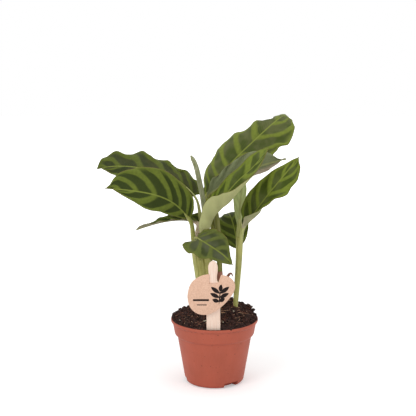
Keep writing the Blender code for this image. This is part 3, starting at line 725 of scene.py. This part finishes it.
stalks = {
    "rear_left": ([(-6, 8, 66), (-6, 8, 78), (-8, 7.5, 110), (-9.8, 6.3, 150), (-14.2, 5.5, 170),
                   (-16.3, 6, 184), (-18.5, 7.1, 190.8), (-20.5, 8.2, 193.6), (-29, 11.5, 202.2)],
                  (2.0, 2.0, 2.1, 2.4, 2.6, 1.5, 0.8), stalk_light),
    "rolled": ([(-1.7, 3.6, 66), (-1.7, 3.6, 78), (-2.7, 3, 105), (-4.5, 2, 140), (-9.2, -2.8, 172),
                (-10, -4, 177.5)], (1.6, 1.6, 1.6, 1.6, 1.6), stalk_green),
    "front_left": ([(-20.6, -8.9, 146.6), (-22, -10.2, 158), (-24, -11.6, 171), (-26.6, -12.6, 175.5),
                    (-34, -17.8, 184.5)], (2.6, 2.4, 2.2, 1.9, 0.5), stalk_green),
    "low_left": ([(-18, -5.9, 147.4), (-18.2, -3.4, 154), (-17.0, -0.4, 159.5), (-16.4, 1.2, 165),
                  (-25, 1.6, 169.4)], (2.3, 2.4, 2.6, 2.3, 0.5), stalk_blush),
    "funnel": ([(-9.4, -11.2, 149.6), (-9.3, -11.4, 154), (-8.6, -11.2, 159), (-5, -10.9, 171.4)],
               (2.4, 1.9, 1.6, 1.0), stalk_green),
    "small_front": ([(-13.9, -9.8, 131), (-15.5, -14, 145), (-17.5, -22, 155), (-19, -29, 159),
                     (-16.6, -31.8, 159), (-11, -36.3, 156.3)], (1.2, 1.2, 1.2, 1.2, 1.0, 0.5), stalk_green),
    "top": ([(4.1, 6.9, 135.5), (0.2, 8, 155), (-2.6, 9, 168), (-5, 10, 180), (-9, 12.6, 191),
             (-3, 16.8, 200)], (1.4, 2.6, 3.1, 2.6, 1.8, 0.7), stalk_green),
    "behind_funnel": ([(6.4, 4.2, 135.5), (4.2, 4, 155), (2.6, 3.6, 168), (0, 2.6, 182), (-6.5, 3.2, 194),
                       (3, 3.6, 202.5)], (1.6, 2.7, 2.9, 2.3, 1.6, 0.6), shaded_olive_stalk),
    "half_rolled": ([(24.8, 2.4, 150.5), (25, 2.7, 157), (25.4, 3.1, 161.7), (25.7, 3.6, 172)],
                    (2.9, 2.8, 2.6, 1.4), stalk_light),
    "right": ([(27.0, -0.8, 150.5), (27.9, -1.5, 158), (29.2, -2.6, 163), (35, -6.4, 171.6)],
              (2.3, 2.2, 1.9, 0.8), stalk_light),
    "low_rear": ([(23.6, 6.6, 120), (23.4, 6.9, 128), (23, 8, 138.5), (22.6, 11.4, 146)],
                 (1.2, 1.2, 1.2, 0.6), shaded_olive_stalk),
}
for leaf, (path, radii, finish) in stalks.items():
    stem("leaf_stalk_" + leaf, path, radii, finish, "stalk_" + leaf, "leaf_stalk", ridges=0.03)

rolled_points = [(-10, -4, 176.9), (-11.6, -2, 191.8), (-16, 0, 214.7), (-21.2, 1, 232), (-24.2, 1, 237)]
rolled_radii = (1.8, 2.3, 2.5, *[2.6] * 9, 2.5, 2.4, 2.3, 2.1, 0.6)
rolled_finish = stem_finish("rolled_blade", (163, 164, 132), (124, 130, 84), (112, 118, 72))
stem("rolled_young_leaf", rolled_points, rolled_radii, rolled_finish, "leaf_rolled", "leaf_blade",
     60, 40, wrap=0.28, seam=75.0)

dry = stem_finish("dried_sheath", (176, 124, 102), (128, 76, 58), (84, 46, 36))
curl = [(9.2, 3.7, 95), (11.5, 2, 104), (14, 0, 111.5), (17, -1, 114.5), (18.6, -1.4, 111.5)]
stem("dried_sheath_curl", curl, (0.9, 1.4, 1.6, 1.3, 0.4), dry,
     "dried_sheath_tip", "dried_leaf", 30, 16, wrap=0.4, seam=40.0)
stem("dried_sheath_collar", [(5.4, 4, 106), (5.4, 4.2, 111), (5.2, 4.4, 115.5)], (3.0, 3.3, 3.2), dry,
     "dried_sheath_tip", "dried_leaf", 16, 24, wrap=0.2, seam=150.0)


# ============================================ leaves
# Oval blades with a pale midrib and side veins that sweep towards the tip. Dark bars lie between the
# veins' pale bands and stop short of the thin, wavy margin. The underside is dull grey-green.

def half(width, base, middle, tip, lean, blunt_base=0.55, blunt_tip=1.05, lobe=0.0,
         sweep=(0.2, 0.28), pale=None, trim=None):
    """One side of a leaf.

    width is its widest, mm. base, middle and tip are each the slope at the midrib and at the margin,
    in degrees above the leaf's flat. lean moves the widest point tipwards, the blunt values are
    powers (smaller is rounder), and lobe is how far the base runs back past the stalk, mm. sweep is
    how far tipwards the bands run by the margin, as shares of the leaf at its base and tip. pale gives
    this side's own places for the pale bands. trim moves the margin: {place along in fortieths of the
    leaf: mm outwards}.
    """
    return dict(width=width, slopes=(base, middle, tip), lean=lean, blunt=(blunt_base, blunt_tip),
                lobe=lobe, sweep=sweep, pale=pale, trim=trim or {0: 0})


leaf_rows = 140
leaf_columns = 26               # on each side of the midrib
leaf_thickness = 0.55
trim_places = 40
veins_per_band = 13.0


def through_three(base, middle, tip, along):
    """The parabola that takes three values at the base, middle and tip of a leaf."""
    along = along[:, None]
    base, middle, tip = (np.atleast_1d(np.asarray(value, float)) for value in (base, middle, tip))
    return (base * (1 - along) * (1 - 2 * along) + middle * 4 * along * (1 - along)
            + tip * along * (2 * along - 1))


def bar_at(along, pale):
    """Counts bands along the leaf: whole numbers at the pale ones."""
    first, last = pale[1] - pale[0], pale[-1] - pale[-2]
    places = [pale[0] - 4 * first, *pale, pale[-1] + 4 * last]
    return np.interp(along, places, [-4, *range(len(pale)), len(pale) + 3])


def blade_surface(rib, facing, left, right, pale, swell):
    """Points over the blade, rows along the midrib and columns across, mm, with its pattern's values."""
    along = np.linspace(0.0, 1.0, leaf_rows)
    spine = smooth_path(rib, leaf_rows)
    tangent = unit(np.gradient(spine, axis=0))
    normal = through_three(*facing, along)
    normal = unit(normal - (normal * tangent).sum(axis=1)[:, None] * tangent)
    side = np.cross(tangent, normal)
    halves = {}
    for sign, part in ((-1, left), (1, right)):
        at_rib, at_margin = zip(*part["slopes"])
        at_rib = np.radians(through_three(*at_rib, along))
        at_margin = np.radians(through_three(*at_margin, along))
        base_power, tip_power = part["blunt"]
        power = base_power + (tip_power - base_power) * along
        fullness = np.sin(pi * along ** part["lean"]).clip(0) ** power
        narrowest = 0.8 - 0.5 * along
        width = narrowest + (part["width"] - narrowest) * fullness
        moved = np.interp(along, np.array(list(part["trim"])) / trim_places, list(part["trim"].values()))
        moved = np.convolve(np.pad(moved, 2, "edge"), np.hanning(7)[1:-1] / 3, "valid")
        width = (width + moved).clip(0.15)
        steps = (np.arange(leaf_columns) + 0.5) / leaf_columns
        slope = (at_rib + (at_margin - at_rib) * steps)[..., None]
        step = np.cos(slope) * side[:, None] * sign + np.sin(slope) * normal[:, None]
        reach = np.cumsum(step * width[:, None, None] / leaf_columns, axis=1)
        out = steps + 0.5 / leaf_columns
        back = part["lobe"] * out**1.5 * ((1.0 - along) * fullness**0.5)[:, None]
        points = spine[:, None] + reach - back[..., None] * tangent[:, None]
        base_sweep, tip_sweep = part["sweep"]
        sweep = base_sweep + (tip_sweep - base_sweep) * along[:, None]
        bar = bar_at(along[:, None] - sweep * out**1.3, part["pale"] or pale)
        halves[sign] = points, bar, out * width[:, None], (1.0 - out) * width[:, None]
    at_rib = (spine, bar_at(along, pale), 0 * along, np.minimum(halves[-1][3][:, 0], halves[1][3][:, 0]))
    grid, bar, from_rib, to_margin = (
        np.concatenate([halves[-1][i][:, ::-1], at_rib[i][:, None], halves[1][i]], axis=1) for i in range(4))
    across = unit(np.cross(np.gradient(grid, axis=1), np.gradient(grid, axis=0)))
    out = np.abs(np.linspace(-1.0, 1.0, 2 * leaf_columns + 1))
    fade = np.sin(pi * along)[:, None].clip(0) ** 0.7
    ripple = swell * out**2 * (np.cos(2 * pi * bar) + 0.2 * np.cos(4 * pi * bar))
    quilt = 0.22 * np.cos(2 * pi * bar) * np.minimum(1.0, from_rib / 3.0)
    groove = -0.45 * np.exp(-(from_rib / 1.1) ** 2)
    grid = grid + across * ((ripple + quilt) * fade + groove * (1 - along[:, None]) ** 0.5)[..., None]
    return grid, along, out, bar, from_rib, to_margin


def blade_top(name, light, dark, sheen, sheen_cover=0.5, taper=0.7, plain=2.2, reach=0.96):
    """Upper face: satin, with dark bars between pale bands, a pale midrib and a thin warm margin.

    sheen is the colour of a painted sheen, grey patches on the dark bars that stand for the white room's
    reflection. The value after it is how much of the bars that sheen covers, taper how fast they narrow to
    the margin, plain how wide the margin without bars is, mm, and reach how far out they go, as a share of
    the half's width.
    """
    finish = Finish(name)
    light, dark, sheen = srgb(*light), srgb(*dark), srgb(*sheen)
    bar, along, out, from_rib, to_margin = finish.carried("bar", "along", "out", "from_rib", "to_margin")
    drift = finish.mottle(8.0, 2.0, 0.5) - 0.5
    band = (2 * pi * (bar + 0.12 * drift)).cosine()
    limit = 0.62 - taper * out - 0.8 * out**6 + 0.4 * drift
    dark_share = band.rises(limit + 0.45, limit - 0.4)
    dark_share = dark_share * (out + 0.12 * drift).rises(reach, reach - 0.3)
    dark_share = dark_share * along.rises(0.0, 0.05) * along.rises(1.0, 0.92)
    dark_share = dark_share * to_margin.rises(0.5 * plain, 1.6 * plain)
    veins = (2 * pi * (veins_per_band * bar)).cosine()
    cloud = finish.mottle(3.5, 4.0, 0.6)
    shine = finish.mottle(14.0, 2.0, 0.5)
    ground = finish.blend(cloud.rises(0.3, 0.75) * 0.3, light, dark)
    # Painted sheen: patches of the dark bars turn grey, standing for the white room's reflection.
    bars = finish.blend(shine.rises(0.35, 0.68) * sheen_cover, dark, sheen)
    colour = finish.blend(dark_share * 0.96, ground, bars)
    colour = finish.blend((veins * 0.5 + 0.5) * 0.14, colour, light)
    colour = finish.blend(to_margin.rises(2.2, 0.6) * 0.5, colour, srgb(104, 116, 42))
    rib = from_rib.rises(1.0, 0.35) * along.rises(1.02, 0.85)
    colour = finish.blend(rib * 0.85, colour, srgb(128, 138, 58))
    colour = finish.blend(to_margin.rises(0.5, 0.2) * 0.6, colour, srgb(118, 92, 58))
    height = veins * 0.16 + cloud * 0.3 + band * 0.3
    finish.surface(colour, 0.46 + 0.1 * cloud + 0.05 * dark_share, height, 0.2, specular=0.14)
    return finish


def blade_under(name, green, blush, blushing, edge=0.0):
    """Underside: matt grey-green with a raised midrib, fine veins and a pinkish flush."""
    finish = Finish(name)
    green, blush = srgb(*green), srgb(*blush)
    bar, along, out, side, from_rib = finish.carried("bar", "along", "out", "side", "from_rib")
    veins = (2 * pi * (veins_per_band * bar)).cosine()
    threads = finish.node("CombineXYZ", None, {0: 30.0 * bar, 1: 5.0 * out, 2: 0.0})
    fine = finish.mottle(1.0, 3.0, 0.6, threads)
    band = (2 * pi * bar).cosine()
    flush = finish.mottle(16.0, 2.0, 0.5)
    rosy = flush.rises(0.35, 0.7) * blushing + edge * side.rises(-0.1, -0.85) * along.rises(0.25, 0.6)
    colour = finish.blend(rosy.rises(0.0, 1.0), green, blush)
    colour = finish.blend((band * -0.5 + 0.5) * out.rises(1.0, 0.8) * 0.16, colour, srgb(72, 82, 46))
    colour = finish.blend(fine.rises(0.4, 0.7) * 0.18, colour, srgb(186, 188, 140))
    colour = finish.blend(from_rib.rises(1.3, 0.5) * 0.7, colour, srgb(158, 162, 102))
    height = veins * 0.2 + fine * 0.4
    finish.surface(colour, 0.6, height, 0.25, specular=0.2)
    return finish


def leaf(name, rib, facing, left, right, pale, swell, top, under):
    """A thin closed blade about its surface, with one finish on each face."""
    grid, along, out, bar, from_rib, to_margin = blade_surface(rib, facing, left, right, pale, swell)
    bm = bmesh.new()
    layers = [bm.verts.layers.float.new(value)
              for value in ("bar", "along", "out", "side", "from_rib", "to_margin")]
    bmesh.ops.create_grid(bm, x_segments=2 * leaf_columns, y_segments=leaf_rows - 1, size=0.5)
    for vert in bm.verts:
        column = round((vert.co.x + 0.5) * 2 * leaf_columns)
        row = round((vert.co.y + 0.5) * (leaf_rows - 1))
        vert.co = grid[row, column] * MM
        values = (bar[row, column], along[row], out[column], column / leaf_columns - 1.0,
                  from_rib[row, column], to_margin[row, column])
        for layer, value in zip(layers, values):
            vert[layer] = value
    piece = make_piece("blade_" + name, bm, [top, under], sharp_angle=180.0)
    shell = piece.modifiers.new("Blade", "SOLIDIFY")
    shell.thickness = leaf_thickness * MM
    shell.offset = 0.0
    shell.material_offset = 1
    shell.material_offset_rim = 0
    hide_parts("leaf_" + name)


# The top finishes are one leaf pattern in copies matched leaf by leaf: their lighter and darker colours are
# partly the leaves' own and partly painted light and shade for how each leaf is lit.
mid_top = blade_top("zebra_top", (100, 112, 38), (33, 45, 5), (50, 60, 22), 0.4, 0.7, 1.5, 1.06)
sheen_top = blade_top("zebra_top_sheen", (98, 107, 48), (54, 63, 30), (84, 88, 66), 0.85, 0.3, 3.2, 0.9)
rear_top = blade_top("zebra_top_rear", (85, 96, 24), (31, 41, 5), (62, 62, 30), 0.7, 0.5, 1.5, 1.0)
grey_top = blade_top("zebra_top_grey", (113, 125, 42), (55, 67, 19), (93, 95, 60), 0.75, 0.1, 1.5, 1.05)
fresh_top = blade_top("zebra_top_fresh", (118, 132, 45), (55, 69, 13), (92, 99, 56), 0.6, 0.5, 2.0, 0.98)
deep_top = blade_top("zebra_top_deep", (104, 118, 42), (50, 60, 16), (66, 75, 30))
# The underside finishes are copies of one dull grey-green, matched leaf by leaf. The two lightest, for the
# funnel and half-rolled leaves, are lightened past the leaves' own colour: painted light where those
# undersides turn away from the lamps.
grey_under = blade_under("grey_underside", (120, 128, 92), (200, 184, 164), 0.0, 0.9)
painted_light_pale_under = blade_under("pale_underside", (178, 180, 122), (186, 178, 130), 0.3)
painted_light_fresh_under = blade_under("fresh_underside", (204, 218, 146), (190, 198, 132), 0.3)
dull_under = blade_under("dull_underside", (132, 138, 92), (156, 146, 116), 0.45)
low_under = blade_under("low_underside", (140, 142, 108), (176, 160, 140), 0.5)
pink_under = blade_under("pink_underside", (153, 155, 112), (199, 187, 158), 0.8)

cupped = (0, 10), (0, 5), (0, 0)
rolled_up = (0, 40), (0, 30), (0, 30)
even_bands = (0.05, 0.2, 0.37, 0.55, 0.75, 0.92)

# Most trims, the pale and sweep values of twelve halves, and the width, slopes and powers of the
# funnel leaf's halves are fitted numbers. Separate programs made them, and they fit this plant only.

leaf("rear_left",
     [(-20, 8, 194), (-36, 14, 208), (-60, 22, 216.5), (-85, 28, 220.5), (-110, 33, 219.5), (-122, 35, 217)],
     [(0, -0.3, 0.95), (0, -0.45, 0.9), (-0.1, -0.55, 0.87)],
     half(24, (0, -10), (0, -15), (0, -10), 1.0, 0.6, 1.0, sweep=(0.2, 0.31),
          trim={31: 0, 32: -1.9, 33: -0.8, 34: -0.7, 37: -2.7, 38: -2.5, 39: -6.8, 40: -7}),
     half(26.5, (0, -10), (0, -5), (0, 0), 1.25, 0.42, 0.4, 9.0, sweep=(0.27, 0.22),
          pale=(-0.137, 0.05, 0.168, 0.348, 0.58, 0.8, 0.92),
          trim={0: 5, 2.4: 4, 6: 2.6, 7: 0, 10: 1.5, 11: -0.4, 12: -5.8, 15: -3.7, 16: -5, 18: -1,
                22: -5.8, 24: -3.4, 26: 3.6, 27: 3.8, 29: -3.6, 31: -5.1, 32: -3.4, 34: 4.3, 35: 5.5,
                37: 0.7, 39: 3.6, 40: -4.8}),
     (-0.1, 0.05, 0.2, 0.345, 0.553, 0.77, 0.92), 1.2, rear_top, pink_under)
leaf("front_left",
     [(-26, -13, 175), (-41, -24, 193), (-59, -32, 203), (-81, -36, 208), (-108, -38, 211)],
     [(-0.3, -0.85, 0.4), (-0.2, -0.83, 0.5), (-0.1, -0.8, 0.6)],
     half(16, (0, -10), (0, -15), (0, -15), 0.85, 0.65, 1.2, sweep=(0, 0.4),
          pale=(-0.039, 0.122, 0.256, 0.487, 0.719, 0.881),
          trim={0: -5.7, 1: -1.9, 3: -1, 11: -0.9, 15: -1.8, 20: 0.4, 23: 0.8, 28: -1.1, 32: -1.2,
                36: -2.3, 39: -4.3, 40: 0}),
     half(28, *cupped, 1.1, 0.5, 0.6, sweep=(0.17, 0.34),
          pale=(0.047, 0.176, 0.304, 0.497, 0.685, 0.862),
          trim={0: -1, 4: -1.2, 6: -0.6, 11: -2.8, 19: -0.3, 23: -1.3, 27: -0.3, 30: -1.3, 35: 0.6, 36: -1,
                37: -1.6, 38: -5.8, 40: -4.2}),
     (0.0, 0.18, 0.33, 0.51, 0.69, 0.84), 0.6, mid_top, dull_under)
leaf("top",
     [(-9, 12, 191.8), (4, 21, 209.6), (18, 30, 225), (42, 39, 247), (63, 51, 264), (75, 71, 269)],
     [(-0.3, -0.85, 0.4), (-0.25, -0.83, 0.5), (-0.2, -0.8, 0.6)],
     half(28, (0, -40), (0, -50), (0, -40), 0.88, 0.55, 0.6, sweep=(0.13, 0.14),
          pale=(0.083, 0.177, 0.292, 0.441, 0.603, 0.871),
          trim={0: 0, 3: -5, 7: 0.5, 9: -0.3, 10: 1.5, 12: -0.8, 13: -0.2, 15: 5, 17: 2.4, 21: 4.7,
                22: 3.8, 23: -1.9, 24: -3.6, 31: 1, 32: -4.6, 33: -2.5, 34: -5, 36: -5, 37: -0.4, 39: -1.1,
                40: 5}),
     half(30, (0, 10), (0, 5), (0, -10), 1.4, 0.75, 0.5, sweep=(0.4, 0.28),
          pale=(0.07, 0.194, 0.3, 0.42, 0.63, 0.8),
          trim={23: 0, 24: -3.2, 26: -3.6, 27: -5, 28: -3.1, 29: 2.1, 34: -0.7, 35: -0.8, 36: -3,
                37: -3.8, 38: -1.8, 39: -5.3, 40: -3.2}),
     (0.07, 0.194, 0.3, 0.435, 0.61, 0.83), 0.5, grey_top, dull_under)
leaf("front_funnel",
     [(-9, -11.3, 158), (-2, -10.3, 181.2), (9, -9.6, 196.2), (24, -11.9, 214.1), (38, -16, 228.1),
      (53, -20, 248.2)],
     [(-0.25, -0.8, 0.5), (-0.45, -0.55, 0.65), (-0.45, -0.3, 0.8)],
     half(15.5, (40, 35), (10, 22), (5, 10), 1.0, 0.8, 1.0, sweep=(0.34, 0.04),
          pale=(0.05, 0.144, 0.229, 0.397, 0.709, 0.901),
          trim={11: 0, 12: -1.4, 14: -2, 15: -3.4, 17: -3.9, 20: -2.5, 23: -2.8, 25: -1.9, 26: -1.1,
                30: 4, 33: 6.1, 35: 6.7, 37: 5.6, 40: 0}),
     half(44.4, (11, 260), (-8, 98), (0, 5), 1.04, 0.32, 0.97, sweep=(0.1, 0.32),
          trim={0: 2, 6: -8, 14: 0, 20: -3, 24: -8, 28.8: -13, 34: -10, 40: 0}),
     (0.05, 0.18, 0.27, 0.42, 0.67, 0.82, 0.93), 0.4, fresh_top, painted_light_pale_under)
leaf("behind_funnel",
     [(-7, 3.2, 194.8), (11, 3.2, 208.8), (29, 4.5, 218.9), (48, 6, 226), (73, 9, 232)],
     [(-0.3, 0.93, 0.2), (-0.3, 0.93, 0.2), (-0.3, 0.9, 0.3)],
     half(9.5, (0, -20), (0, -20), (0, 0), 1.0,
          trim={18: 0, 19: -1.7, 21: -2.2, 31: 0.9, 37: -1.2, 38: -2.5, 39: 0}),
     half(18, *cupped, 1.25, 0.55, 1.1,
          trim={0: 0, 2: 0.5, 7: 3.7, 9: 0.3, 11: -1, 14: 0.9, 17: -1.3, 22: 0.4, 25: 0.2, 27: 1.2, 32: 0,
                36: -3.4, 38: -2.8, 39: 0}),
     even_bands, 0.8, mid_top, grey_under)
leaf("half_rolled",
     [(25.3, 3.2, 161.7), (26, 4.5, 182), (27.5, 7.5, 199.7), (28.5, 10, 219)],
     [(0, 1, 0.2)] * 3,
     half(5.5, *rolled_up, 1.3, 0.8), half(8, *rolled_up, 1.3),
     even_bands, 0.0, mid_top, painted_light_fresh_under)
leaf("right",
     [(29, -3, 163), (42, -10, 183), (56, -14, 203), (71, -16, 222), (84, -16, 239)],
     [(-0.3, -0.8, 0.5)] * 3,
     half(17, *cupped, 0.7, 0.5, 1.0, sweep=(0.19, 0.25),
          pale=(-0.022, 0.159, 0.303, 0.506, 0.739, 0.891),
          trim={0: -8, 2.8: -8, 4: -1.5, 5: 0, 7: 0, 11: 1.3, 22: 0.4, 27: 1, 37: 0.4, 40: -1}),
     half(15.5, (0, 320), (0, 18), (0, 0), 1.25, 0.4, 0.6, sweep=(0.05, 0.44),
          pale=(0, 0.113, 0.25, 0.474, 0.679, 0.862),
          trim={0: 2, 2.4: 4, 6: 6, 10: 4, 12: 1, 13: -4, 14: -5.5, 17: -4.6, 20: -5.2, 23: -1.3, 25: 0.4,
                28: -1, 32: 1.1, 37: -0.1, 38: -2.8, 40: -2.7}),
     (0.02, 0.147, 0.27, 0.453, 0.706, 0.88), 0.5, fresh_top, pink_under)
leaf("small_front",
     [(-17, -32, 159.4), (-10, -37.5, 156.3), (-1, -40, 151), (10, -40.5, 142.8), (18, -39, 133.7)],
     [(0.1, -0.98, 0), (0.1, -0.98, 0.05), (0.1, -0.95, 0.2)],
     half(16, *cupped, 0.7, lobe=3, sweep=(0.55, 0.15),
          pale=(-0.3, -0.059, 0.194, 0.499, 0.824),
          trim={0: 1.6, 1: -4, 2: -4, 3: -3.4, 4: -1.6, 6: -1.4, 13: 1.7, 17: 1.2, 22: 1.7, 30: -2.5,
                33: -2.5, 37: -1.2, 40: -1.4}),
     half(18, *cupped, 0.6, 0.5, 0.8, lobe=19, sweep=(0.58, 0.1),
          pale=(-0.288, 0.11, 0.375, 0.8, 1.05),
          trim={0: 2.3, 1: 3.7, 2: 1.1, 4: -0.4, 12: -0.3, 14: -2.5, 15: -2.7, 20: -0.2, 25: -2.5,
                32: -0.8, 40: -0.6}),
     (-0.25, 0.129, 0.439, 0.7, 0.92), 1.0, sheen_top, dull_under)
leaf("low_left",
     [(-15.4, 1.5, 167), (-25, 1.6, 169.2), (-40, -1, 170.4), (-61, -3, 166.8), (-80, -5, 161)],
     [(0, 0.45, 0.9), (0, -0.15, 1), (0.3, 0.6, 0.8)],
     half(6, (0, 60), (10, 50), (30, 80), 1.1, trim={0: 0, 24: -1, 28.8: -1.5, 34.4: 1.4, 37.2: 1.6, 40: 0}),
     half(8, (50, 90), (20, 35), (10, 20), 0.85, 0.25,
          trim={0: 6, 2.4: 6.5, 4.4: 3, 6.4: 0}),
     even_bands, 0.6, deep_top, low_under)
leaf("low_rear",
     [(23, 8, 139), (22, 14, 151), (19, 20, 163), (16, 30, 169), (13, 42, 168)],
     [(0, -0.9, 0.4), (0, -0.75, 0.6), (0, -0.6, 0.8)],
     half(17, *cupped, 0.9, 0.6, sweep=(0.23, 0.29), pale=(0, 0.211, 0.426, 0.666, 0.96)),
     half(16, *cupped, 1.1, sweep=(0.4, 0.4), pale=(-0.1, 0.111, 0.4, 0.6, 0.855)),
     (0.08, 0.34, 0.6, 0.85), 1.0, deep_top, dull_under)
